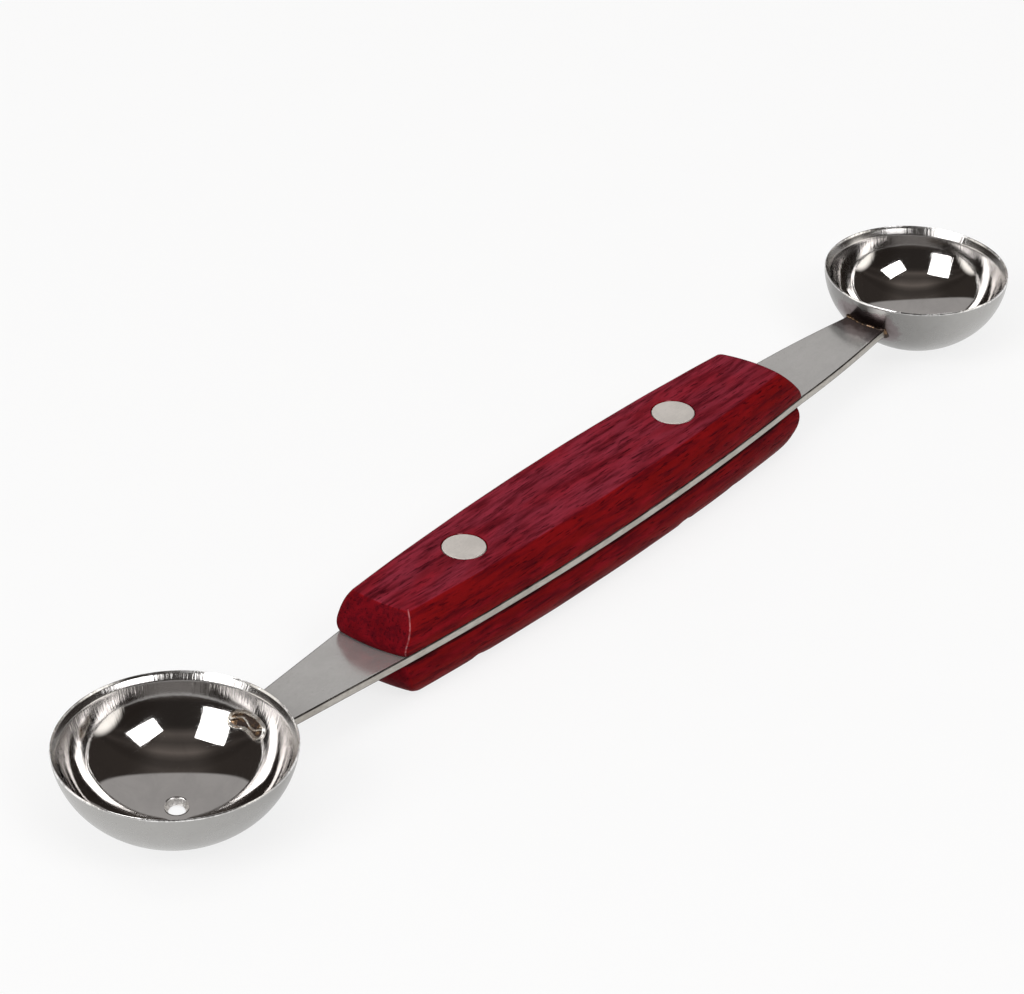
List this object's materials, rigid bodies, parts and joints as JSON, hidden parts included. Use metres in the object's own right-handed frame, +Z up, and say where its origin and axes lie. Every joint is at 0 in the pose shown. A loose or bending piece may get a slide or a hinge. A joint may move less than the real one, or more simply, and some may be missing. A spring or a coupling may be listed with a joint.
{
  "type": "double melon baller",
  "caption": "Double-ended melon baller: a large and a small steel scoop on a flat steel tang, with riveted red-stained wood handle scales.",
  "frame": {"origin": "middle of the overall length, on the mid-plane of the width, on the table plane under the two bowls", "axes": "+X along the handle towards the small bowl, +Z up, the way both bowls open, +Y towards the side that the vent hole of the large bowl is offset to"},
  "size_m": [0.1802, 0.03, 0.0135],
  "materials": {
    "bowl_steel": "mirror-polished stainless steel, finely brushed outside",
    "tang_steel": "satin, ground flat, with fine lengthwise grain",
    "weld_steel": "bare weld with brown heat tint",
    "scale_wood": "close-grained wood stained deep red, semi-matt",
    "rivet_metal": "ground flush with the wood, matt"
  },
  "bodies": {
    "root": {"tang": "tang_steel", "large_bowl": "bowl_steel", "small_bowl": "bowl_steel", "top_scale": "scale_wood", "bottom_scale": "scale_wood", "large_end_rivet_post": "rivet_metal", "large_end_rivet_tube": "rivet_metal", "small_end_rivet_post": "rivet_metal", "small_end_rivet_tube": "rivet_metal", "large_bowl_weld": "weld_steel", "small_bowl_weld": "weld_steel"}
  },
  "joints": []
}
